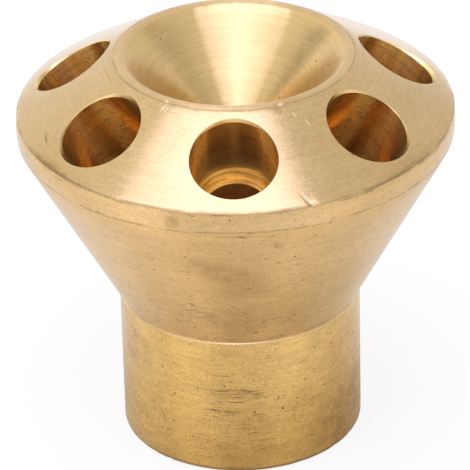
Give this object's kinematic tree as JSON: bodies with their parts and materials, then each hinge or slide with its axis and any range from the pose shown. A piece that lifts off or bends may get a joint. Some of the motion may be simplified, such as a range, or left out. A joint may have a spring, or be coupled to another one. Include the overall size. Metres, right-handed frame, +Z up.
{
  "type": "refrigerant distributor",
  "caption": "Turned brass distributor head: straight neck with an inlet socket, flared cone, and a bevelled top with a ring of tilted sockets round a conical recess.",
  "frame": {"origin": "centre of the neck's lower face", "axes": "+Z up the body's axis towards the recess; the first feeder socket faces -Y"},
  "size_m": [0.041, 0.041, 0.0389],
  "materials": {
    "brass": "as turned, satin with fine tool marks"
  },
  "bodies": {
    "root": {"distributor_body": "brass"}
  },
  "joints": []
}
